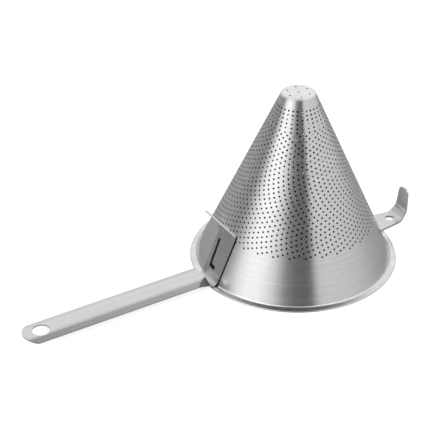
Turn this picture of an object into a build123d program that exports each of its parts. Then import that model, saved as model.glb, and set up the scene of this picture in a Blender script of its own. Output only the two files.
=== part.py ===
"""Chinois strainer, standing tip up on its rim, in millimetres.

The origin is on the cone's axis, in the plane that the rim stands on. +Z points at the tip, -X along the
handle and +X at the rest hook.
"""

from build123d import *
import math
import os

# Rim: the cone's sheet turned out flat and folded under along its edge
rim_r = 105.0
hem_width = 3.6
fold_round = 0.5
foot_bend_r = 3.0
bend_steps = 3

# Cone wall
sheet = 0.8
cone_height = 183.8
rim_width = 6.1
tip_r = 17.1
# The wall is round, and held here as flats within 0.13 mm of it, two to a column, to keep its holes light
wall_flats = 62

# Perforation: 31 columns, each punched as a zigzag of rings down the wall
hole_d = 1.6
hole_sides = 6
column_count = 31
column_angle = 360 / column_count
first_ring_slant = 9.9
column_turn = -32.1
straight_rings = 5
straight_pitch = 4.1
straight_shift_share = 0.017
zigzag_rings = 58
zigzag_pitch_top = 2.95
zigzag_pitch_foot = 1.65
shift_share_top = 0.45
shift_share_foot = 0.72
# The sheet keeps every ninth ring, because all 64 would pass what a plain model may hold
skipped_rings = 8

# Tip cap: a small cup pressed up into the open end of the wall
cap_skirt = 5.0
cap_round = 0.8
cap_hole_d = 2.0
cap_hole_count = 6
cap_hole_ring_r = 11.0
press_gap = 0.05

# Bracket: flat plate on the wall, its foot turned out over the rim
plate_sheet = 1.2
plate_inset = 2.85
plate_top_z = 51.0
plate_toe_setback = 1.2
weld_gap = 0.05
slot_gap = 1.3
slot_foot_z = 14.6
slot_top_z = 35.0
slot_lean = 2.1
slot_y = 6.7
slot_foot_length = 8.7
notch_foot_z = 38.0
notch_top_z = 42.0

# Bar along the plate's top edge, standing out past one side
bar_d = 1.5
bar_reach = 44.5

# Handle: an upturned channel with a crowned top and a round end
handle_reach = 193.7
handle_width = 33.0
handle_depth = 3.2
handle_sheet = 1.2
handle_shoulder_r = 2.6
handle_top_z = 11.1
handle_droop = 0.9
eye_length = 18.5
eye_width = 17.5
eye_setback = 15.8
cutback_length = 15.0
cutback_height = 1.9

# Rest hook: strap on the rim, bent up beyond it
hook_sheet = 2.0
hook_flat_length = 23.0
hook_knee_run = 9.0
hook_knee_z = 12.0
hook_top_run = 2.5
hook_top_z = 35.6
hook_root_width = 30.0
hook_waist_width = 22.0
hook_knee_width = 17.6
hook_top_width = 13.5
hook_corner_r = 5.0
hook_bend_r = 2.5
hook_hole_r = 4.5
hook_hole_reach = 16.8

overrun = 5.0

rim_top_z = 2 * sheet
cone_foot_r = rim_r - rim_width
wall_rise = cone_height - rim_top_z
wall_slope = math.atan2(cone_foot_r - tip_r, wall_rise)
wall_slant = math.hypot(cone_foot_r - tip_r, wall_rise)
wall_sin = math.sin(wall_slope)
wall_cos = math.cos(wall_slope)


def wall_r(z, out=0):
    """Radius at height z of the wall's outer face, moved out along its normal."""
    return cone_foot_r - (z - rim_top_z) * math.tan(wall_slope) + out / wall_cos


def band_taper(drop, rise):
    """Angle, in degrees, at which a band's flats lean when its corners come in by drop over its rise."""
    return math.degrees(math.atan2(drop * math.cos(math.pi / wall_flats), rise))


def bend_levels(radius):
    """Height and radius of each fold line of the bend at the wall's foot, rim first."""
    centre_r = wall_r(rim_top_z) + foot_bend_r * math.tan((math.pi / 2 - wall_slope) / 2)
    centre_z = rim_top_z + foot_bend_r
    levels = []
    for step in range(bend_steps + 1):
        angle = (math.pi / 2 - wall_slope) * step / bend_steps
        levels.append((centre_z - radius * math.cos(angle), centre_r - radius * math.sin(angle)))
    return levels


def ring_places():
    """Distance down the wall from the tip edge and turn, in degrees, of each ring of the perforation."""
    slant = first_ring_slant
    turn = column_turn
    places = []
    for ring in range(straight_rings + zigzag_rings + 1):
        places.append((slant, turn))
        if ring < straight_rings:
            slant += straight_pitch
            turn += straight_shift_share * column_angle
        else:
            done = (ring - straight_rings) / zigzag_rings
            slant += zigzag_pitch_foot + (zigzag_pitch_top - zigzag_pitch_foot) * (1 - done) ** 2
            turn += (shift_share_top + (shift_share_foot - shift_share_top) * done) * column_angle
    return places


def wall_plane(slant, turn):
    """Plane on the wall's outer face, its normal standing square out of the wall."""
    radius = tip_r + slant * wall_sin
    angle = math.radians(turn)
    out = Vector(math.cos(angle), math.sin(angle), 0)
    origin = out * radius + Vector(0, 0, cone_height - slant * wall_cos)
    return Plane(origin=origin, x_dir=out.cross(Vector(0, 0, 1)), z_dir=out * wall_cos + Vector(0, 0, wall_sin))


def write(part, name):
    part.label = name
    export_step(part, f"parts/{name}.step")


os.makedirs("parts", exist_ok=True)

# Punch: what each hole of the perforation takes out of the sheet
with BuildPart() as punch:
    with BuildSketch():
        RegularPolygon(hole_d / 2, hole_sides)
    extrude(amount=2 * sheet, both=True)

# Perforated cone: the folded rim, the bend at the wall's foot and the wall, in one sheet
rim_levels = [
    (0, rim_r - fold_round),
    (fold_round, rim_r),
    (rim_top_z - fold_round, rim_r),
    (rim_top_z, rim_r - fold_round),
]
outer_levels = bend_levels(foot_bend_r) + [(cone_height, tip_r)]
inner_levels = bend_levels(foot_bend_r + sheet) + [(cone_height, wall_r(cone_height, -sheet))]
with BuildPart() as perforated_cone:
    for levels, mode in ((rim_levels, Mode.ADD), (outer_levels, Mode.ADD), (inner_levels, Mode.SUBTRACT)):
        for (foot_z, foot_r), (head_z, head_r) in zip(levels, levels[1:]):
            with BuildSketch(Plane.XY.offset(foot_z)):
                RegularPolygon(foot_r, wall_flats)
            extrude(amount=head_z - foot_z, taper=band_taper(foot_r - head_r, head_z - foot_z), mode=mode)
    with BuildSketch():
        RegularPolygon(rim_r - hem_width, wall_flats)
    extrude(amount=sheet, mode=Mode.SUBTRACT)
    punches = []
    for slant, turn in ring_places()[:: skipped_rings + 1]:
        for column in range(column_count):
            punches.append(wall_plane(slant, turn + column * column_angle).location * punch.part)
    add(punches, mode=Mode.SUBTRACT, clean=False)
write(perforated_cone.part, "perforated_cone")

# Tip cap: disc with seven holes and a skirt that wedges inside the wall
cap_foot_z = cone_height - cap_skirt
cap_levels = [
    (cap_foot_z, wall_r(cap_foot_z, -sheet - press_gap)),
    (cone_height - cap_round, wall_r(cone_height - cap_round, -sheet - press_gap)),
    (cone_height, wall_r(cone_height, -sheet - press_gap) - cap_round),
]
hollow_levels = [
    (cap_foot_z, wall_r(cap_foot_z, -2 * sheet - press_gap)),
    (cone_height - sheet, wall_r(cone_height - sheet, -2 * sheet - press_gap)),
]
with BuildPart() as tip_cap:
    for levels, mode in ((cap_levels, Mode.ADD), (hollow_levels, Mode.SUBTRACT)):
        for (foot_z, foot_r), (head_z, head_r) in zip(levels, levels[1:]):
            with BuildSketch(Plane.XY.offset(foot_z)):
                RegularPolygon(foot_r, wall_flats)
            extrude(amount=head_z - foot_z, taper=band_taper(foot_r - head_r, head_z - foot_z), mode=mode)
    with BuildSketch(Plane.XY.offset(cone_height)):
        RegularPolygon(cap_hole_d / 2, hole_sides)
        with PolarLocations(cap_hole_ring_r, cap_hole_count):
            RegularPolygon(cap_hole_d / 2, hole_sides)
    extrude(amount=-2 * sheet, mode=Mode.SUBTRACT)
write(tip_cap.part, "tip_cap")

# Bracket: plate against the wall's outermost line, turned out over the rim at its foot
plate_back = weld_gap
plate_front = weld_gap + plate_sheet
plate_foot_z = rim_top_z + weld_gap
plate_toe_r = rim_r - plate_toe_setback
plate_width = handle_width - 2 * plate_inset
with BuildPart() as handle_bracket:
    with BuildSketch(Plane.XZ) as plate_profile:
        with BuildLine():
            Polyline(
                (-plate_toe_r, plate_foot_z),
                (-plate_toe_r, plate_foot_z + plate_sheet),
                (-wall_r(plate_foot_z + plate_sheet, plate_front), plate_foot_z + plate_sheet),
                (-wall_r(plate_top_z, plate_front), plate_top_z),
                (-wall_r(plate_top_z, plate_back), plate_top_z),
                (-wall_r(plate_foot_z, plate_back), plate_foot_z),
                close=True,
            )
        make_face()
        front_corner = (-wall_r(plate_foot_z + plate_sheet, plate_front), plate_foot_z + plate_sheet)
        fillet(plate_profile.vertices().sort_by_distance(front_corner)[0], foot_bend_r - plate_sheet)
        back_corner = (-wall_r(plate_foot_z, plate_back), plate_foot_z)
        fillet(plate_profile.vertices().sort_by_distance(back_corner)[0], foot_bend_r)
    extrude(amount=plate_width / 2, both=True)
    with BuildSketch(Plane.YZ.offset(-rim_r)):
        with BuildLine():
            Polyline(
                (slot_y, slot_foot_z),
                (slot_y - slot_lean, slot_top_z),
                (slot_y - slot_lean - slot_gap, slot_top_z),
                (slot_y - slot_gap, slot_foot_z + slot_gap),
                (slot_y - slot_foot_length, slot_foot_z + slot_gap),
                (slot_y - slot_foot_length, slot_foot_z),
                close=True,
            )
        make_face()
        with Locations((slot_y - slot_gap, (notch_foot_z + notch_top_z) / 2)):
            Rectangle(slot_gap, notch_top_z - notch_foot_z)
    extrude(amount=rim_r, mode=Mode.SUBTRACT)
write(handle_bracket.part, "handle_bracket")

# Bar: rod along the plate's top edge, standing out past the plate's far side
bar_z = plate_top_z + weld_gap + bar_d / 2
bar_x = -wall_r(plate_top_z, plate_back + plate_sheet / 2)
bar_plane = Plane(origin=(bar_x, -plate_width / 2, bar_z), z_dir=(0, 1, 0))
with BuildPart() as bracket_bar:
    with BuildSketch(bar_plane):
        Circle(bar_d / 2)
    extrude(amount=bar_reach + plate_width / 2)
write(bracket_bar.part, "bracket_bar")

# Handle: crowned channel, its inner end trimmed to stand against the bracket's plate
droop = math.radians(handle_droop)
along = Vector(-math.cos(droop), 0, -math.sin(droop))
square_up = Vector(-math.sin(droop), 0, math.cos(droop))
handle_foot = Vector(-rim_r, 0, handle_top_z) - square_up * handle_depth
handle_plane = Plane(origin=handle_foot, x_dir=along, z_dir=square_up)
handle_start = -2 * rim_width - overrun
end_centre = handle_reach - handle_width / 2
weld_plane = Plane(
    origin=(-wall_r(rim_top_z, plate_front + weld_gap), 0, rim_top_z),
    z_dir=(-wall_cos, 0, wall_sin),
)
with BuildPart() as handle:
    with BuildSketch(handle_plane):
        with Locations(((handle_start + end_centre) / 2, 0)):
            Rectangle(end_centre - handle_start, handle_width)
        with Locations((end_centre, 0)):
            Circle(handle_width / 2)
    extrude(amount=handle_depth)
    handle_top = handle.faces().sort_by(Axis(handle_foot, square_up))[-1]
    fillet(handle_top.edges().sort_by(Axis(handle_foot, along))[1:], handle_shoulder_r)
    handle_open_foot = handle.faces().sort_by(Axis(handle_foot, square_up))[0]
    handle_open_end = handle.faces().sort_by(Axis(handle_foot, along))[0]
    offset(amount=-handle_sheet, openings=[handle_open_foot, handle_open_end])
    with BuildSketch(handle_plane.offset(handle_depth + overrun)):
        with Locations((handle_reach - eye_setback, 0)):
            SlotOverall(eye_length, eye_width)
    extrude(amount=-handle_depth - overrun, mode=Mode.SUBTRACT)
    with BuildSketch(Plane(origin=handle_foot, x_dir=along, z_dir=(0, 1, 0))) as cutback:
        with BuildLine():
            Polyline(
                (handle_start, 0),
                (cutback_length, 0),
                (0, cutback_height),
                (handle_start, cutback_height),
                close=True,
            )
        make_face()
    extrude(amount=handle_width, both=True, mode=Mode.SUBTRACT)
    split(bisect_by=weld_plane, keep=Keep.TOP)
write(handle.part, "handle")

# Rest hook: tapered strap on the rim, raised in two bends
hook_foot_z = rim_top_z + weld_gap
hook_root_r = wall_r(rim_top_z) + foot_bend_r
hook_bend_start_r = rim_r + hook_flat_length
hook_knee_r = hook_bend_start_r + hook_knee_run
hook_top_r = hook_knee_r + hook_top_run
hook_hole_x = rim_r + hook_hole_reach
with BuildPart() as rest_hook:
    with BuildSketch(Plane.XZ) as strap_profile:
        with BuildLine() as strap_line:
            FilletPolyline(
                (0, hook_foot_z + hook_sheet / 2),
                (hook_bend_start_r, hook_foot_z + hook_sheet / 2),
                (hook_knee_r, hook_knee_z),
                (hook_top_r, hook_top_z),
                radius=hook_bend_r,
            )
        trace(line_width=hook_sheet)
    extrude(amount=hook_root_width, both=True)
    with BuildSketch(Plane.XY):
        with BuildLine():
            Polyline(
                (hook_root_r, -hook_root_width / 2),
                (hook_bend_start_r, -hook_waist_width / 2),
                (hook_knee_r, -hook_knee_width / 2),
                (hook_top_r + overrun, -hook_knee_width / 2),
                (hook_top_r + overrun, hook_knee_width / 2),
                (hook_knee_r, hook_knee_width / 2),
                (hook_bend_start_r, hook_waist_width / 2),
                (hook_root_r, hook_root_width / 2),
                (0, hook_root_width / 2),
                (0, -hook_root_width / 2),
                close=True,
            )
        make_face()
    extrude(amount=hook_top_z + overrun, mode=Mode.INTERSECT)
    with BuildSketch(Plane.YZ) as strap_front:
        with BuildLine():
            Polyline(
                (-hook_root_width / 2, 0),
                (-hook_root_width / 2, hook_knee_z),
                (-hook_knee_width / 2, hook_knee_z),
                (-hook_top_width / 2, hook_top_z),
                (hook_top_width / 2, hook_top_z),
                (hook_knee_width / 2, hook_knee_z),
                (hook_root_width / 2, hook_knee_z),
                (hook_root_width / 2, 0),
                close=True,
            )
        make_face()
        fillet(strap_front.vertices().group_by(Axis.Y)[-1], hook_corner_r)
    extrude(amount=hook_top_r + overrun, mode=Mode.INTERSECT)
    with BuildSketch(Plane.XY):
        Circle(hook_root_r)
        with Locations((hook_hole_x, 0)):
            Circle(hook_hole_r)
    extrude(amount=hook_top_z + overrun, mode=Mode.SUBTRACT)
write(rest_hook.part, "rest_hook")
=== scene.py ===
import math

import bpy
from mathutils import Matrix, Vector


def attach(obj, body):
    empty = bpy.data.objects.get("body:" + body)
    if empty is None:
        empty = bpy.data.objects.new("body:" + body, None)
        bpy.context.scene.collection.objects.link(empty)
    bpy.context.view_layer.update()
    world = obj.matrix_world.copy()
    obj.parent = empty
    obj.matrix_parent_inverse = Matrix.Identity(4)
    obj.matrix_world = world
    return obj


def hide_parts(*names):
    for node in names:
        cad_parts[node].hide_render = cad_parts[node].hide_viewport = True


# Chinois strainer, standing tip up on its rim. Lengths are in metres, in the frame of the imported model:
# -X runs along the handle, +X towards the rest hook, +Z towards the tip.
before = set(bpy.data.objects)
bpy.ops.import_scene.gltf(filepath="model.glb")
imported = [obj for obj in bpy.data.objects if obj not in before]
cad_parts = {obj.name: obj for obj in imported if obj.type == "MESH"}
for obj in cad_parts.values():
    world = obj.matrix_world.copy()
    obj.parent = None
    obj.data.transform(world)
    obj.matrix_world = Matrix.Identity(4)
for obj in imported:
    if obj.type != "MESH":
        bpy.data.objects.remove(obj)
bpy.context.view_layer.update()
mm = 0.001
near = 0.1 * mm  # places closer than this are the same place
overrun = 1.0 * mm  # how far a cutting tool stands out of the sheet

# Perforated wall and its folded rim
wall = {
    "sheet": 0.8 * mm,
    "height": 183.8 * mm,
    "rimRadius": 104.86 * mm,
    "rimTop": 1.6 * mm,
    "footRadius": 98.9 * mm,
    "tipRadius": 17.1 * mm,
    "foldWidth": 3.6 * mm,
    "footBend": 3.0 * mm,
    "bendSteps": 6,
    "edgeSteps": 6,
    "turns": 248,
    "smoothAngle": 30,
    "likeness": 0.99,
}

# Perforation: 31 columns, each a zigzag of 64 rings
holes = {
    "diameter": 2.05 * mm,
    "sides": 10,
    "columns": 31,
    "firstSlant": 9.9 * mm,
    "startTurn": -32.1,
    "straightRings": 5,
    "straightPitch": 4.1 * mm,
    "straightShift": 0.017,
    "zigzagRings": 58,
    "pitchTop": 2.95 * mm,
    "pitchFoot": 1.65 * mm,
    "shiftTop": 0.45,
    "shiftFoot": 0.72,
}

wallSlope = math.atan2(wall["footRadius"] - wall["tipRadius"], wall["height"] - wall["rimTop"])
wallOut = (-math.cos(wallSlope), 0, math.sin(wallSlope))  # the wall's normal, on the handle's side
punchDepth = 4 * wall["sheet"]


def deselect():
    if bpy.context.object and bpy.context.object.mode != "OBJECT":
        bpy.ops.object.mode_set(mode="OBJECT")
    bpy.ops.object.select_all(action="DESELECT")


def pick(obj):
    deselect()
    obj.select_set(True)
    bpy.context.view_layer.objects.active = obj
    return obj


def applyModifiers(obj):
    pick(obj)
    for modifier in list(obj.modifiers):
        bpy.ops.object.modifier_apply(modifier=modifier.name)


def selectEdges(obj, wanted):  # leaves the object in edit mode with those edges selected
    pick(obj)
    bpy.ops.object.mode_set(mode="EDIT")
    bpy.ops.mesh.select_all(action="DESELECT")
    bpy.ops.mesh.select_mode(type="EDGE")
    bpy.ops.object.mode_set(mode="OBJECT")
    for edge in obj.data.edges:
        ends = [obj.data.vertices[index].co for index in edge.vertices]
        edge.select = wanted(ends[0], ends[1])
    bpy.ops.object.mode_set(mode="EDIT")


def edgesAt(axis, *places):  # picks the edges that lie at one of the places along an axis
    def wanted(one, two):
        return any(abs(one[axis] - place) < near and abs(two[axis] - place) < near for place in places)

    return wanted


def arc(centre, radius, start, end, steps):  # points on an arc, angles in degrees, both ends included
    points = []
    for step in range(steps + 1):
        angle = math.radians(start + (end - start) * step / steps)
        points.append((centre[0] + radius * math.cos(angle), centre[1] + radius * math.sin(angle)))
    return points


def wallRadius(height, out=0.0):  # radius of the wall's outer face, moved out along its normal
    foot = wall["footRadius"] - (height - wall["rimTop"]) * math.tan(wallSlope)
    return foot + out / math.cos(wallSlope)


def spinProfile(name, points, turns):  # a closed ring of points, spun round the Z axis
    deselect()
    bpy.ops.mesh.primitive_circle_add(vertices=len(points), radius=1, location=(0, 0, 0))
    ring = bpy.context.object
    ring.name = name
    for vertex, (radius, height) in zip(ring.data.vertices, points):
        vertex.co = (radius, 0, height)
    bpy.ops.object.mode_set(mode="EDIT")
    bpy.ops.mesh.select_all(action="SELECT")
    bpy.ops.mesh.spin(steps=turns, angle=math.tau, center=(0, 0, 0), axis=(0, 0, 1))
    bpy.ops.mesh.select_all(action="SELECT")
    bpy.ops.mesh.remove_doubles(threshold=near / 10)
    bpy.ops.mesh.delete_loose()
    bpy.ops.mesh.select_all(action="SELECT")
    bpy.ops.mesh.normals_make_consistent(inside=False)
    bpy.ops.object.mode_set(mode="OBJECT")
    return ring


def outlinePrism(name, outline, thrust):  # a flat outline of points, extruded by a vector
    deselect()
    bpy.ops.mesh.primitive_circle_add(vertices=len(outline), radius=1, fill_type="NGON", location=(0, 0, 0))
    prism = bpy.context.object
    prism.name = name
    for vertex, place in zip(prism.data.vertices, outline):
        vertex.co = place
    bpy.ops.object.mode_set(mode="EDIT")
    bpy.ops.mesh.select_all(action="SELECT")
    bpy.ops.mesh.extrude_region_move(TRANSFORM_OT_translate={"value": thrust})
    bpy.ops.mesh.select_all(action="SELECT")
    bpy.ops.mesh.normals_make_consistent(inside=False)
    bpy.ops.object.mode_set(mode="OBJECT")
    return prism


def cut(obj, tool):
    pick(obj)
    punch = obj.modifiers.new("punch", "BOOLEAN")
    punch.operation = "DIFFERENCE"
    punch.solver = "MANIFOLD"
    punch.object = tool
    applyModifiers(obj)
    bpy.data.objects.remove(tool)


def soften(obj, width, angle=40):  # breaks the sharp edges, as tumbling does
    edge = obj.modifiers.new("edge", "BEVEL")
    edge.width = width
    edge.segments = 2
    edge.limit_method = "ANGLE"
    edge.angle_limit = math.radians(angle)
    applyModifiers(obj)


def thicken(obj, thickness):  # turns a surface into sheet, away from its outer face
    sheet = obj.modifiers.new("sheet", "SOLIDIFY")
    sheet.thickness = thickness
    sheet.offset = -1
    sheet.use_even_offset = True
    applyModifiers(obj)


def faceOut(obj, ahead):  # turns an open surface so that it faces along a vector
    pick(obj)
    lean = sum((face.normal * face.area for face in obj.data.polygons), Vector())
    if lean.dot(Vector(ahead)) < 0:
        bpy.ops.object.mode_set(mode="EDIT")
        bpy.ops.mesh.select_all(action="SELECT")
        bpy.ops.mesh.flip_normals()
        bpy.ops.object.mode_set(mode="OBJECT")


def smooth(obj, angle, weigh=True):  # weighed normals keep large faces flat beside their broken edges
    pick(obj)
    bpy.ops.object.shade_smooth_by_angle(angle=math.radians(angle))
    if weigh:
        normals = obj.modifiers.new("normals", "WEIGHTED_NORMAL")
        normals.keep_sharp = True
        applyModifiers(obj)


def finish(obj, node, material):
    obj.data.materials.clear()
    obj.data.materials.append(material)
    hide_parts(node)
    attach(obj, "root")
    print(obj.name, len(obj.data.polygons), "faces")


def trim(obj, material, wanted):  # gives another material to some faces, chosen by centre and normal
    obj.data.materials.append(material)
    for face in obj.data.polygons:
        if wanted(face.center, face.normal):
            face.material_index = len(obj.data.materials) - 1


# Brushed grain, shared by every steel: streaks along the brushing, a slower unevenness, and fine dents
grainLook = {
    "streakDetail": 4,
    "streakRoughness": 0.65,
    "patchScale": 3,
    "patchDetail": 2,
    "patchShare": 0.3,
    "middle": 0.5,
}


def makeGrainGroup():
    group = bpy.data.node_groups.new("brushed grain", "ShaderNodeTree")
    kinds = {"Place": "NodeSocketVector", "Colour": "NodeSocketColor"}
    for name in ("Place", "Fineness", "Roughness", "Swing", "Depth", "Colour"):
        group.interface.new_socket(name, in_out="INPUT", socket_type=kinds.get(name, "NodeSocketFloat"))
    for name in ("Colour", "Roughness", "Height"):
        group.interface.new_socket(name, in_out="OUTPUT", socket_type=kinds.get(name, "NodeSocketFloat"))
    add, link = group.nodes.new, group.links.new
    source, result = add("NodeGroupInput"), add("NodeGroupOutput")
    streaks = add("ShaderNodeTexNoise")
    streaks.inputs["Detail"].default_value = grainLook["streakDetail"]
    streaks.inputs["Roughness"].default_value = grainLook["streakRoughness"]
    link(source.outputs["Place"], streaks.inputs["Vector"])
    link(source.outputs["Fineness"], streaks.inputs["Scale"])
    patches = add("ShaderNodeTexNoise")
    patches.inputs["Scale"].default_value = grainLook["patchScale"]
    patches.inputs["Detail"].default_value = grainLook["patchDetail"]
    link(source.outputs["Place"], patches.inputs["Vector"])
    blend = add("ShaderNodeMix")
    blend.inputs["Factor"].default_value = grainLook["patchShare"]
    link(streaks.outputs["Fac"], blend.inputs["A"])
    link(patches.outputs["Fac"], blend.inputs["B"])
    centred = add("ShaderNodeMath")
    centred.operation = "SUBTRACT"
    centred.inputs[1].default_value = grainLook["middle"]
    link(blend.outputs["Result"], centred.inputs[0])
    swing = add("ShaderNodeMath")
    swing.operation = "MULTIPLY_ADD"
    link(centred.outputs[0], swing.inputs[0])
    link(source.outputs["Swing"], swing.inputs[1])
    link(source.outputs["Roughness"], swing.inputs[2])
    link(swing.outputs[0], result.inputs["Roughness"])
    tone = add("ShaderNodeMath")
    tone.operation = "MULTIPLY_ADD"
    tone.inputs[2].default_value = 1
    link(centred.outputs[0], tone.inputs[0])
    link(source.outputs["Depth"], tone.inputs[1])
    colour = add("ShaderNodeVectorMath")
    colour.operation = "SCALE"
    link(source.outputs["Colour"], colour.inputs[0])
    link(tone.outputs[0], colour.inputs["Scale"])
    link(colour.outputs["Vector"], result.inputs["Colour"])
    link(streaks.outputs["Fac"], result.inputs["Height"])
    return group


grainGroup = makeGrainGroup()


def makeSteel(name, settings):
    material = bpy.data.materials.new(name)
    material.use_nodes = True
    tree = material.node_tree
    tree.nodes.clear()
    add, link = tree.nodes.new, tree.links.new
    output = add("ShaderNodeOutputMaterial")
    steel = add("ShaderNodeBsdfPrincipled")
    link(steel.outputs["BSDF"], output.inputs["Surface"])
    steel.inputs["Metallic"].default_value = settings["metal"]
    steel.inputs["Anisotropic"].default_value = settings["stretch"]
    steel.inputs["Anisotropic Rotation"].default_value = settings["quarterTurn"]
    tangent = add("ShaderNodeTangent")
    tangent.direction_type = "RADIAL"
    tangent.axis = settings["axis"]
    link(tangent.outputs["Tangent"], steel.inputs["Tangent"])
    place, spread, grain = add("ShaderNodeTexCoord"), add("ShaderNodeMapping"), add("ShaderNodeGroup")
    spread.inputs["Scale"].default_value = settings["grain"]
    link(place.outputs["Object"], spread.inputs["Vector"])
    grain.node_tree = grainGroup
    link(spread.outputs["Vector"], grain.inputs["Place"])
    for name in ("Fineness", "Roughness", "Swing", "Depth"):
        grain.inputs[name].default_value = settings[name.lower()]
    grain.inputs["Colour"].default_value = (*settings["colour"], 1)
    link(grain.outputs["Colour"], steel.inputs["Base Color"])
    link(grain.outputs["Roughness"], steel.inputs["Roughness"])
    bump = add("ShaderNodeBump")
    bump.inputs["Strength"].default_value = settings["bump"]
    bump.inputs["Distance"].default_value = settings["bumpDepth"]
    link(grain.outputs["Height"], bump.inputs["Height"])
    link(bump.outputs["Normal"], steel.inputs["Normal"])
    return material


# Steels: the cone is brushed round its axis, the handle and the hook along X, the plate, the tip and the bar
# are satin, and cut edges are dull. A brushed groove spreads light across itself, hence the quarter turn.
coneSteel = {
    "colour": (0.78, 0.78, 0.775),
    "metal": 1,
    "roughness": 0.23,
    "swing": 0.16,
    "depth": 0.75,
    "stretch": 0.75,
    "quarterTurn": 0.25,
    "axis": "Z",
    "grain": (3, 3, 240),
    "fineness": 40,
    "bump": 0.25,
    "bumpDepth": 0.05 * mm,
}
handleSteel = dict(
    coneSteel,
    colour=(0.71, 0.71, 0.705),
    roughness=0.21,
    depth=0.5,
    stretch=0.5,
    axis="X",
    grain=(4, 90, 90),
    fineness=20,
)
plateSteel = dict(
    coneSteel,
    colour=(0.6, 0.6, 0.595),
    roughness=0.27,
    depth=0.55,
    stretch=0.4,
    grain=(40, 40, 60),
    fineness=12,
)
tipSteel = dict(
    coneSteel,
    colour=(0.9, 0.9, 0.895),
    roughness=0.35,
    swing=0.05,
    depth=0.06,
    stretch=0.2,
    grain=(60, 60, 60),
    fineness=15,
    bump=0.04,
)
edgeSteel = dict(
    coneSteel,
    colour=(0.42, 0.42, 0.42),
    metal=0.3,
    roughness=0.5,
    depth=0.3,
    stretch=0.2,
    grain=(90, 90, 90),
    fineness=15,
)
steels = {
    "edge": makeSteel("cut steel edge", edgeSteel),
    "cone": makeSteel("brushed cone steel", coneSteel),
    "handle": makeSteel("satin handle steel", handleSteel),
    "plate": makeSteel("plain plate steel", plateSteel),
    "tip": makeSteel("satin tip steel", tipSteel),
}


def wallProfile():  # the sheet's section, from the fold's underside round to the tip and back inside
    sheet = wall["sheet"]
    lean = 90 - math.degrees(wallSlope)
    reach = math.tan(math.radians(lean / 2))
    edge = wall["rimRadius"] - sheet
    foldTop = wall["rimTop"]
    outerStart = wallRadius(foldTop) + wall["footBend"] * reach
    bendCentre = (outerStart, foldTop + wall["footBend"])
    points = [(wall["rimRadius"] - wall["foldWidth"], 0.0), (edge, 0.0)]
    points += arc((edge, sheet), sheet, -90, 90, wall["edgeSteps"])[1:]
    points += arc(bendCentre, wall["footBend"], 270, 270 - lean, wall["bendSteps"])
    points.append((wall["tipRadius"], wall["height"]))
    points.append((wallRadius(wall["height"], -sheet), wall["height"]))
    points += arc(bendCentre, wall["footBend"] + sheet, 270 - lean, 270, wall["bendSteps"])
    points.append((wall["rimRadius"] - wall["foldWidth"], sheet))
    return points


def ringPlaces():  # distance down the wall and turn, in degrees, of each ring of the perforation
    column = 360 / holes["columns"]
    slant, turn, places = holes["firstSlant"], holes["startTurn"], []
    for ring in range(holes["straightRings"] + holes["zigzagRings"] + 1):
        places.append((slant, turn))
        if ring < holes["straightRings"]:
            slant += holes["straightPitch"]
            turn += holes["straightShift"] * column
        else:
            done = (ring - holes["straightRings"]) / holes["zigzagRings"]
            slant += holes["pitchFoot"] + (holes["pitchTop"] - holes["pitchFoot"]) * (1 - done) ** 2
            turn += (holes["shiftTop"] + (holes["shiftFoot"] - holes["shiftTop"]) * done) * column
    return places


def joinPins(pins, name):
    deselect()
    for pin in pins:
        pin.select_set(True)
    bpy.context.view_layer.objects.active = pins[0]
    bpy.ops.object.join()
    joined = bpy.context.object
    joined.name = name
    bpy.ops.object.transform_apply(location=True, rotation=True, scale=True)
    return joined


def makePunches():  # all the pins that punch the wall: one column of them, repeated round the cone
    pins = []
    for slant, turn in ringPlaces():
        radius = wall["tipRadius"] + slant * math.sin(wallSlope)
        height = wall["height"] - slant * math.cos(wallSlope)
        angle = math.radians(turn)
        deselect()
        bpy.ops.mesh.primitive_cylinder_add(
            vertices=holes["sides"],
            radius=holes["diameter"] / 2,
            depth=punchDepth,
            location=(radius * math.cos(angle), radius * math.sin(angle), height),
            rotation=(0, math.pi / 2 - wallSlope, angle),
        )
        pins.append(bpy.context.object)
    column = joinPins(pins, "wall punches")
    deselect()
    bpy.ops.object.empty_add(location=(0, 0, 0), rotation=(0, 0, math.tau / holes["columns"]))
    step = bpy.context.object
    pick(column)
    repeat = column.modifiers.new("columns", "ARRAY")
    repeat.count = holes["columns"]
    repeat.use_relative_offset = False
    repeat.use_object_offset = True
    repeat.offset_object = step
    applyModifiers(column)
    bpy.data.objects.remove(step)
    return column


# Gives both faces of the wall the exact normals of a cone, so that no facet shows. A face counts as one of
# them where the cosine between its normal and the cone's passes the likeness.
def roundOff(shell):
    mesh = shell.data
    normals = [corner.vector.copy() for corner in mesh.corner_normals]
    for face in mesh.polygons:
        if face.center.z < wall["rimTop"] + wall["footBend"]:
            continue
        for index in face.loop_indices:
            place = mesh.vertices[mesh.loops[index].vertex_index].co
            ring = Vector((place.x, place.y, 0)).normalized()
            exact = ring * math.cos(wallSlope) + Vector((0, 0, math.sin(wallSlope)))
            if face.normal.dot(exact) > wall["likeness"]:
                normals[index] = exact
            elif face.normal.dot(exact) < -wall["likeness"]:
                normals[index] = -exact
    mesh.normals_split_custom_set(normals)


def makePerforatedWall():
    shell = spinProfile("perforated_wall", wallProfile(), wall["turns"])
    cut(shell, makePunches())
    smooth(shell, wall["smoothAngle"], weigh=False)
    roundOff(shell)
    return shell


finish(makePerforatedWall(), "perforated_cone", steels["cone"])


# Tip: a small cup with seven holes, pressed up into the wall's open end
tip = {
    "skirt": 5.0 * mm,
    "lift": 1.3 * mm,
    "bend": 1.2 * mm,
    "bendSteps": 5,
    "gap": 0.05 * mm,
    "hole": 2.0 * mm,
    "holeSides": 20,
    "holeCount": 6,
    "holeRing": 11.3 * mm,
    "holeTurn": 10.0,
    "turns": 124,
    "smoothAngle": 30,
}


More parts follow.
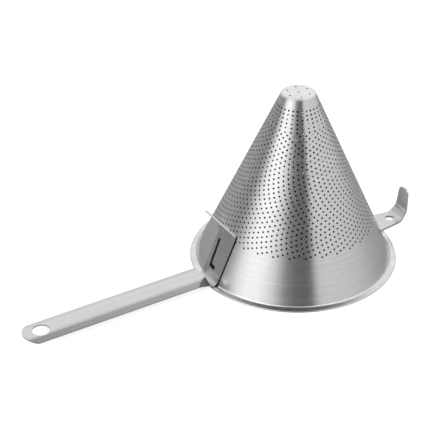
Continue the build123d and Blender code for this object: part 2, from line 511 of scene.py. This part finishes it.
def makeTip():
    sheet, top = wall["sheet"], wall["height"] + tip["lift"]
    foot, under = top - tip["skirt"], top - sheet
    outside, inside = -sheet - tip["gap"], -2 * sheet - tip["gap"]
    outer = wallRadius(wall["height"], outside)
    points = [(wallRadius(foot, inside), foot), (wallRadius(foot, outside), foot)]
    points += arc((outer - tip["bend"], top - tip["bend"]), tip["bend"], 0, 90, tip["bendSteps"])
    points += [(0, top), (0, under), (wallRadius(under, inside), under)]
    cup = spinProfile("tip_disc", points, tip["turns"])
    pins = []
    for number in range(tip["holeCount"] + 1):
        angle = math.tau * number / tip["holeCount"] + math.radians(tip["holeTurn"])
        ring = 0 if number == tip["holeCount"] else tip["holeRing"]
        deselect()
        bpy.ops.mesh.primitive_cylinder_add(
            vertices=tip["holeSides"],
            radius=tip["hole"] / 2,
            depth=punchDepth,
            location=(ring * math.cos(angle), ring * math.sin(angle), top),
        )
        pins.append(bpy.context.object)
    cut(cup, joinPins(pins, "tip punches"))
    smooth(cup, tip["smoothAngle"])
    return cup


finish(makeTip(), "tip_cap", steels["tip"])

# Bracket: flat plate behind the handle, its foot turned out over the rim, with a bent groove
plate = {
    "sheet": 1.2 * mm,
    "width": 27.3 * mm,
    "top": 51.0 * mm,
    "toe": 103.8 * mm,
    "gap": 0.05 * mm,
    "fold": 3.78 * mm,
    "foldSteps": 10,
    "edge": 0.3 * mm,
    "edgeBand": 0.6 * mm,
    "groove": [(7.89 * mm, 40.74 * mm), (6.42 * mm, 14.95 * mm), (-1.72 * mm, 13.88 * mm)],
    "grooveWidth": 3.6 * mm,
    "grooveDepth": 1.14 * mm,
    # painted shade in the groove: darkening starts and is full at these depths below the outer face, down to
    # this tone
    "paintedShadeStart": 0.75 * mm,
    "paintedShadeFull": 1.125 * mm,
    "paintedShadeTone": 0.04,
    "smoothAngle": 40,
}


def stroke(points, width):  # outline of a line with one bend, across and up
    start, bend, end = [Vector(point) for point in points]
    half = width / 2
    one = (bend - start).normalized().orthogonal() * half
    two = (end - bend).normalized().orthogonal() * half
    turn = (one + two) / (1 + one.dot(two) / half**2)
    return [start + one, bend + turn, end + two, end - two, bend - turn, start - one]


def paintShadeBelow(material, place, out):  # painted shade: darkens the base colour where the plate is sunk below its outer face, so the groove's floor and the plate's back read dark
    tree = material.node_tree
    add, link = tree.nodes.new, tree.links.new
    where = add("ShaderNodeTexCoord")
    offset, along = add("ShaderNodeVectorMath"), add("ShaderNodeVectorMath")
    offset.operation, along.operation = "SUBTRACT", "DOT_PRODUCT"
    offset.inputs[1].default_value = place
    along.inputs[1].default_value = out
    link(where.outputs["Object"], offset.inputs[0])
    link(offset.outputs["Vector"], along.inputs[0])
    fade, shade = add("ShaderNodeMapRange"), add("ShaderNodeVectorMath")
    fade.inputs["From Min"].default_value = -plate["paintedShadeFull"]
    fade.inputs["From Max"].default_value = -plate["paintedShadeStart"]
    fade.inputs["To Min"].default_value = plate["paintedShadeTone"]
    fade.inputs["To Max"].default_value = 1
    link(along.outputs["Value"], fade.inputs["Value"])
    shade.operation = "SCALE"
    steel = next(node for node in tree.nodes if node.type == "BSDF_PRINCIPLED")
    link(steel.inputs["Base Color"].links[0].from_socket, shade.inputs[0])
    link(fade.outputs["Result"], shade.inputs["Scale"])
    link(shade.outputs["Vector"], steel.inputs["Base Color"])


def makePlate():
    half, face = plate["width"] / 2, plate["gap"] + plate["sheet"]
    foot, top = wall["rimTop"] + face, plate["top"]
    fold, head = -wallRadius(foot, face), -wallRadius(top, face)
    deselect()
    bpy.ops.mesh.primitive_plane_add(size=plate["width"], location=(0, 0, 0))
    sheet = bpy.context.object
    sheet.name = "bracket_plate"
    corners = [(fold, -half, foot), (fold, half, foot), (head, -half, top), (head, half, top)]
    for vertex, corner in zip(sheet.data.vertices, corners):
        vertex.co = corner
    selectEdges(sheet, edgesAt(2, foot))
    bpy.ops.mesh.extrude_region_move(TRANSFORM_OT_translate={"value": (-plate["toe"] - fold, 0, 0)})
    selectEdges(sheet, edgesAt(0, fold))
    bpy.ops.mesh.bevel(offset=plate["fold"], segments=plate["foldSteps"], affect="EDGES")
    bpy.ops.object.mode_set(mode="OBJECT")
    faceOut(sheet, (-1, 0, 0.5))
    thicken(sheet, plate["sheet"])
    out = Vector(wallOut)
    groove = [Vector((-wallRadius(high, face), across, high)) + out * overrun
              for across, high in stroke(plate["groove"], plate["grooveWidth"])]
    cut(sheet, outlinePrism("groove", groove, -out * (overrun + plate["grooveDepth"])))
    soften(sheet, plate["edge"])
    smooth(sheet, plate["smoothAngle"])
    return sheet


# Painted shade: the plate steel's colour darkens with depth below the plate's outer face, standing in for the
# shade in the groove
plateFace = (-wallRadius(plate["top"], plate["gap"] + plate["sheet"]), 0, plate["top"])
paintShadeBelow(steels["plate"], plateFace, wallOut)
bracketPlate = makePlate()
finish(bracketPlate, "handle_bracket", steels["plate"])
plateEdge = plate["width"] / 2 - plate["edgeBand"]
trim(bracketPlate, steels["edge"], lambda centre, normal: abs(centre.y) > plateEdge)

# Bar: rod along the plate's top edge, standing out past one side
bar = {
    "diameter": 2.0 * mm,
    "reach": 43.3 * mm,
    "sides": 24,
    "edge": 0.25 * mm,
    "softAngle": 60,
    "smoothAngle": 40,
}


def makeBar():
    length = bar["reach"] + plate["width"] / 2
    place = (
        -wallRadius(plate["top"], plate["gap"] + plate["sheet"] / 2),
        bar["reach"] - length / 2,
        plate["top"] + plate["gap"] + bar["diameter"] / 2,
    )
    deselect()
    bpy.ops.mesh.primitive_cylinder_add(
        vertices=bar["sides"],
        radius=bar["diameter"] / 2,
        depth=length,
        location=place,
        rotation=(math.pi / 2, 0, 0),
    )
    rod = bpy.context.object
    rod.name = "bracket_rod"
    bpy.ops.object.transform_apply(location=True, rotation=True, scale=True)
    soften(rod, bar["edge"], bar["softAngle"])
    smooth(rod, bar["smoothAngle"])
    return rod


finish(makeBar(), "bracket_bar", steels["tip"])

# Handle: shallow crowned strip, its end cut to an arc, with a round eye. Its inner end is bent down to the
# rim, and the near corner there is hammered down
grip = {
    "start": 102.3 * mm,
    "rise": 104.5 * mm,
    "crest": 107.0 * mm,
    "end": 301.0 * mm,
    "width": 31.2 * mm,
    "sheet": 1.2 * mm,
    "top": 11.1 * mm,
    "topAt": 105.0 * mm,
    "foot": 4.3 * mm,
    "droop": 0.9,
    "sideSlope": 12.0,
    "crown": 7.4 * mm,
    "crownBlend": 2.5 * mm,
    "fineLength": 15.0 * mm,
    "fineSteps": 18,
    "coarseSteps": 22,
    "sections": 40,
    "endRadius": 17.2 * mm,
    "endSteps": 40,
    "eyeRadius": 8.5 * mm,
    "eyePlace": 282.9 * mm,
    "eyeSides": 56,
    "tongue": 12.4 * mm,
    "notchEnd": 105.3 * mm,
    "toolDepth": 20.0 * mm,
    "edge": 0.22 * mm,
    "dullFrom": 118.5 * mm,
    "dullSteepness": 0.75,
    "smoothAngle": 22,
}
hammered = {"place": (106.8 * mm, -5.2 * mm, 11.0 * mm), "alongRise": 0.194, "acrossRise": 0.433}


def gripHeight(along, across):  # height of the handle's upper face
    if along < grip["rise"] + near:
        return grip["foot"]
    slope, blend = math.tan(math.radians(grip["sideSlope"])), grip["crownBlend"]
    past = abs(across) - grip["crown"]
    if past < -blend:
        drop = 0
    elif past < blend:
        drop = slope * (past + blend) ** 2 / (4 * blend)
    else:
        drop = slope * past
    height = grip["top"] - (along - grip["topAt"]) * math.tan(math.radians(grip["droop"])) - drop
    out, aside, low = hammered["place"]
    low += hammered["alongRise"] * (along - out) + hammered["acrossRise"] * (across - aside)
    return min(height, low)


def gripStations():  # distances from the axis at which the handle has an edge across
    fineStep = grip["fineLength"] / grip["fineSteps"]
    fine = [grip["crest"] + fineStep * step for step in range(grip["fineSteps"] + 1)]
    coarseStep = (grip["end"] - fine[-1]) / grip["coarseSteps"]
    coarse = [fine[-1] + coarseStep * step for step in range(1, grip["coarseSteps"] + 1)]
    return [grip["start"], grip["rise"], *fine, *coarse]


def cutHandle(strip, name, outline):  # cuts an outline, seen from above, right through the handle
    deep = grip["toolDepth"]
    cut(strip, outlinePrism(name, [(x, y, -deep) for x, y in outline], (0, 0, 3 * deep)))


def makeHandle():
    half, wide = grip["width"] / 2, grip["width"]
    stations = gripStations()
    deselect()
    bpy.ops.mesh.primitive_grid_add(
        x_subdivisions=len(stations) - 1, y_subdivisions=grip["sections"], size=1, location=(0, 0, 0)
    )
    strip = bpy.context.object
    strip.name = "handle_strip"
    for vertex in strip.data.vertices:
        along = stations[round((vertex.co.x + 0.5) * (len(stations) - 1))]
        across = vertex.co.y * wide
        vertex.co = (-along, across, gripHeight(along, across))
    faceOut(strip, (0, 0, 1))
    thicken(strip, grip["sheet"])
    radius, centre = grip["endRadius"], grip["end"] - grip["endRadius"]
    reach = math.degrees(math.asin(half / radius))
    rounding = [(-centre - x, y) for x, y in arc((0, 0), radius, -reach, reach, grip["endSteps"])]
    side, far = rounding[0][0], -grip["end"] - half
    waste = [(side, -wide), (far, -wide), (far, wide), (side, wide)]
    cutHandle(strip, "end waste", waste + rounding[::-1])
    eye = arc((-grip["eyePlace"], 0), grip["eyeRadius"], 0, 360, grip["eyeSides"])
    cutHandle(strip, "eye waste", eye[:-1])
    inner, outer = -grip["start"] + half, -grip["notchEnd"]
    for sign in (-1, 1):
        tongue, edge = sign * grip["tongue"], sign * wide
        cutHandle(strip, "foot waste", [(inner, tongue), (inner, edge), (outer, edge), (outer, tongue)])
    soften(strip, grip["edge"])
    smooth(strip, grip["smoothAngle"])
    return strip


def isDullEdge(centre, normal):  # the cut edges of the handle, but not its hammered inner end
    return abs(normal.z) < grip["dullSteepness"] and -centre.x > grip["dullFrom"]


handleStrip = makeHandle()
finish(handleStrip, "handle", steels["handle"])
trim(handleStrip, steels["edge"], isDullEdge)

# Rest hook: strap on the rim, raised in two bends, with a round hole
hook = {
    "sheet": 2.0 * mm,
    "root": 99.0 * mm,
    "gap": 0.05 * mm,
    "places": [(101.9, 0.0, 30.0), (128.6, 0.0, 22.0), (135.9, 8.3, 17.6), (137.8, 31.95, 13.5)],
    "bend": 3.0 * mm,
    "bendSteps": 4,
    "corner": 5.0 * mm,
    "cornerSteps": 6,
    "holeRadius": 4.5 * mm,
    "holePlace": 121.8 * mm,
    "holeSides": 40,
    "edge": 0.3 * mm,
    "wallClearance": 101.85 * mm,
    "wallSides": 180,
    "toolDepth": 20.0 * mm,
    "smoothAngle": 35,
}


def cutHook(strap, sides, radius, place, height):  # cuts an upright cylinder out of the strap
    deselect()
    bpy.ops.mesh.primitive_cylinder_add(
        vertices=sides, radius=radius, depth=hook["toolDepth"], location=(place, 0, height)
    )
    bpy.ops.object.transform_apply(location=True, rotation=True, scale=True)
    cut(strap, bpy.context.object)


def makeHook():  # places: distance from the axis, rise and width, in millimetres
    foot = wall["rimTop"] + hook["gap"] + hook["sheet"]
    stations = [(radius * mm, foot + rise * mm, width / 2 * mm) for radius, rise, width in hook["places"]]
    first, second = stations[0], stations[1]
    deselect()
    bpy.ops.mesh.primitive_plane_add(size=1, location=(0, 0, 0))
    strap = bpy.context.object
    strap.name = "hook_strap"
    corners = [(hook["root"], -first[2], first[1]), (second[0], -second[2], second[1]),
               (hook["root"], first[2], first[1]), (second[0], second[2], second[1])]
    for vertex, corner in zip(strap.data.vertices, corners):
        vertex.co = corner
    for before, after in zip(stations[1:], stations[2:]):
        selectEdges(strap, edgesAt(0, before[0]))
        step = (after[0] - before[0], 0, after[1] - before[1])
        bpy.ops.mesh.extrude_region_move(TRANSFORM_OT_translate={"value": step})
        bpy.ops.transform.resize(value=(1, after[2] / before[2], 1), center_override=(0, 0, 0))
    bpy.ops.object.mode_set(mode="OBJECT")
    folds = [station[0] for station in stations[1:3]]
    selectEdges(strap, edgesAt(0, *folds))
    bpy.ops.mesh.bevel(offset=hook["bend"], segments=hook["bendSteps"], affect="EDGES")
    bpy.ops.object.mode_set(mode="OBJECT")
    head = stations[-1][1]
    selectEdges(strap, edgesAt(2, head))
    bpy.ops.mesh.bevel(offset=hook["corner"], segments=hook["cornerSteps"], affect="VERTICES")
    bpy.ops.object.mode_set(mode="OBJECT")
    faceOut(strap, (-1, 0, 1))
    thicken(strap, hook["sheet"])
    cutHook(strap, hook["holeSides"], hook["holeRadius"], hook["holePlace"], foot)
    cutHook(strap, hook["wallSides"], hook["wallClearance"], 0, foot)
    soften(strap, hook["edge"])
    smooth(strap, hook["smoothAngle"])
    return strap


finish(makeHook(), "rest_hook", steels["handle"])

# Studio: brightness of the surroundings. "sides" goes by compass direction in degrees, "back" says where the
# pale backdrop is, and "rise", "ceiling" and "box" go by height, from -1 below to 1 overhead. The box is a
# light above the camera.
studio = {
    "turn": 34.3,
    "top": 2.0,
    "sides": [
        (-180, 0.26),
        (-172, 0.40),
        (-164, 0.70),
        (-156, 1.05),
        (-144, 1.28),
        (-128, 1.20),
        (-114, 0.85),
        (-106, 0.54),
        (-97, 0.20),
        (-86, 0.10),
        (-72, 0.07),
        (-66, 0.10),
        (-59, 0.65),
        (-46, 0.72),
        (0, 0.71),
        (26, 0.67),
        (38, 0.66),
        (50, 0.55),
        (62, 0.36),
        (90, 0.34),
        (115, 0.42),
        (140, 0.29),
        (160, 0.20),
        (172, 0.19),
        (180, 0.26),
    ],
    "back": [(-180, 0.0), (0, 0.0), (30, 1.0), (150, 1.0), (180, 0.0)],
    "rise": [(-1, 0.0), (0.0, 0.0), (0.3, 1.0), (1, 1.0)],
    "backLevel": 0.95,
    "ceiling": [
        (-1, 1.0),
        (0.45, 1.0),
        (0.6, 0.98),
        (0.7, 0.9),
        (0.78, 0.76),
        (0.86, 0.38),
        (0.93, 0.12),
        (1, 0.08),
    ],
    "box": [(-1, 0.0), (0.48, 0.0), (0.6, 1.0), (0.84, 1.0), (0.95, 0.0), (1, 0.0)],
    "boxLevel": 0.72,
}


def makeRamp(tree, stops, low, high, top):
    ramp = tree.nodes.new("ShaderNodeValToRGB")
    elements = ramp.color_ramp.elements
    for index, (place, level) in enumerate(stops):
        share = (place - low) / (high - low)
        if index == 0:
            stop = elements[0]
        elif index == len(stops) - 1:
            stop = elements[-1]
        else:
            stop = elements.new(share)
        stop.position = share
        stop.color = (level / top, level / top, level / top, 1)
    return ramp


def makeStudio():
    world = bpy.data.worlds.new("studio")
    bpy.context.scene.world = world
    world.use_nodes = True
    tree = world.node_tree
    tree.nodes.clear()
    add, link = tree.nodes.new, tree.links.new

    def calculate(operation, one, two=None, three=None):
        node = add("ShaderNodeMath")
        node.operation = operation
        for socket, value in zip(node.inputs, (one, two, three)):
            if value is None:
                continue
            if isinstance(value, (int, float)):
                socket.default_value = value
            else:
                link(value, socket)
        return node.outputs[0]

    output = add("ShaderNodeOutputWorld")
    coordinates, split = add("ShaderNodeTexCoord"), add("ShaderNodeSeparateXYZ")
    link(coordinates.outputs["Generated"], split.inputs["Vector"])
    compass = calculate("ARCTAN2", split.outputs["Y"], split.outputs["X"])
    turned = calculate("WRAP", calculate("ADD", compass, math.radians(studio["turn"])), math.pi, -math.pi)
    share = calculate("MULTIPLY_ADD", turned, 1 / math.tau, 0.5)
    height = calculate("MULTIPLY_ADD", split.outputs["Z"], 0.5, 0.5)
    sides = makeRamp(tree, studio["sides"], -180, 180, studio["top"])
    back = makeRamp(tree, studio["back"], -180, 180, 1)
    rise, ceiling, box = (makeRamp(tree, studio[name], -1, 1, 1) for name in ("rise", "ceiling", "box"))
    for ramp, value in ((sides, share), (back, share), (rise, height), (ceiling, height), (box, height)):
        link(value, ramp.inputs["Fac"])
    level = calculate("MULTIPLY", sides.outputs["Color"], studio["top"])
    backdrop = calculate("MULTIPLY", back.outputs["Color"], rise.outputs["Color"])
    gap = calculate("SUBTRACT", studio["backLevel"], level)
    level = calculate("MULTIPLY_ADD", backdrop, gap, level)
    level = calculate("MULTIPLY", level, ceiling.outputs["Color"])
    front = calculate("MULTIPLY", calculate("SUBTRACT", 1, back.outputs["Color"]), studio["boxLevel"])
    level = calculate("MULTIPLY_ADD", box.outputs["Color"], front, level)
    around, white = add("ShaderNodeBackground"), add("ShaderNodeBackground")
    link(level, around.inputs["Strength"])
    around.inputs["Color"].default_value = (1, 1, 1, 1)
    white.inputs["Color"].default_value = (1, 1, 1, 1)
    rays, mix = add("ShaderNodeLightPath"), add("ShaderNodeMixShader")
    link(rays.outputs["Is Camera Ray"], mix.inputs["Fac"])
    link(around.outputs["Background"], mix.inputs[1])
    link(white.outputs["Background"], mix.inputs[2])
    link(mix.outputs["Shader"], output.inputs["Surface"])


makeStudio()
print("studio made")

# Floor: pale, white to the camera except under the strainer, where no white shows through the holes and the
# floor's colour is painted near black as painted shade inside the strainer
floor = {
    "size": 4.0,
    "drop": 0.1 * mm,
    "colour": 0.52,
    "paintedShadeColour": 0.02,
    "glow": 0.81,
    "under": 101 * mm,
}


def makeFloor():
    deselect()
    bpy.ops.mesh.primitive_plane_add(size=floor["size"], location=(0, 0, -floor["drop"]))
    ground = bpy.context.object
    ground.name = "floor"
    bpy.ops.object.transform_apply(location=True, rotation=True, scale=True)
    material = bpy.data.materials.new("pale floor")
    material.use_nodes = True
    tree = material.node_tree
    tree.nodes.clear()
    add, link = tree.nodes.new, tree.links.new
    output, both = add("ShaderNodeOutputMaterial"), add("ShaderNodeAddShader")
    matt, glow = add("ShaderNodeBsdfDiffuse"), add("ShaderNodeEmission")
    place, length = add("ShaderNodeTexCoord"), add("ShaderNodeVectorMath")
    outside, strength = add("ShaderNodeMath"), add("ShaderNodeMath")
    length.operation = "LENGTH"
    link(place.outputs["Object"], length.inputs[0])
    outside.operation = "GREATER_THAN"
    outside.inputs[1].default_value = floor["under"]
    link(length.outputs["Value"], outside.inputs[0])
    rays, seen = add("ShaderNodeLightPath"), add("ShaderNodeMath")
    seen.operation = "MULTIPLY"
    link(rays.outputs["Is Camera Ray"], seen.inputs[0])
    seen.inputs[1].default_value = floor["glow"]
    strength.operation = "MULTIPLY"
    link(outside.outputs[0], strength.inputs[0])
    link(seen.outputs[0], strength.inputs[1])
    link(strength.outputs[0], glow.inputs["Strength"])
    # painted shade: the floor's colour is near black under the strainer, standing in for the shade inside it
    shade = add("ShaderNodeMapRange")
    shade.inputs["To Min"].default_value = floor["paintedShadeColour"]
    shade.inputs["To Max"].default_value = floor["colour"]
    link(outside.outputs[0], shade.inputs["Value"])
    link(shade.outputs["Result"], matt.inputs["Color"])
    link(matt.outputs["BSDF"], both.inputs[0])
    link(glow.outputs["Emission"], both.inputs[1])
    link(both.outputs["Shader"], output.inputs["Surface"])
    ground.data.materials.append(material)


makeFloor()
print("floor made")

# Camera: long lens, looking a little down, the handle towards the left
camera = {
    "lens": 126.1,
    "sensor": 36.0,
    "aimHeight": 90 * mm,
    "distance": 1496.8 * mm,
    "azimuth": -124.3,
    "elevation": 30.62,
    "turnRight": -3.006,
    "turnUp": -1.539,
    "roll": 0.17,
}


def makeCamera():
    data = bpy.data.cameras.new("camera")
    data.lens = camera["lens"]
    data.sensor_width = camera["sensor"]
    eye = bpy.data.objects.new("camera", data)
    bpy.context.scene.collection.objects.link(eye)
    azimuth, elevation = math.radians(camera["azimuth"]), math.radians(camera["elevation"])
    flat = Vector((math.cos(azimuth), math.sin(azimuth), 0))
    back = flat * math.cos(elevation) + Vector((0, 0, math.sin(elevation)))
    place = Vector((0, 0, camera["aimHeight"])) + back * camera["distance"]
    right = Vector((-math.sin(azimuth), math.cos(azimuth), 0))
    up = back.cross(right)
    look = right * math.tan(math.radians(camera["turnRight"])) + up * math.tan(math.radians(camera["turnUp"]))
    look = (look - back).normalized()
    side = look.cross(Vector((0, 0, 1))).normalized()
    top = side.cross(look)
    roll = math.radians(camera["roll"])
    side, top = side * math.cos(roll) + top * math.sin(roll), top * math.cos(roll) - side * math.sin(roll)
    turn = Matrix((side, top, -look)).transposed()
    eye.matrix_world = Matrix.Translation(place) @ turn.to_4x4()
    bpy.context.scene.camera = eye


makeCamera()
print("camera made")
bpy.context.scene.view_settings.view_transform = "Standard"
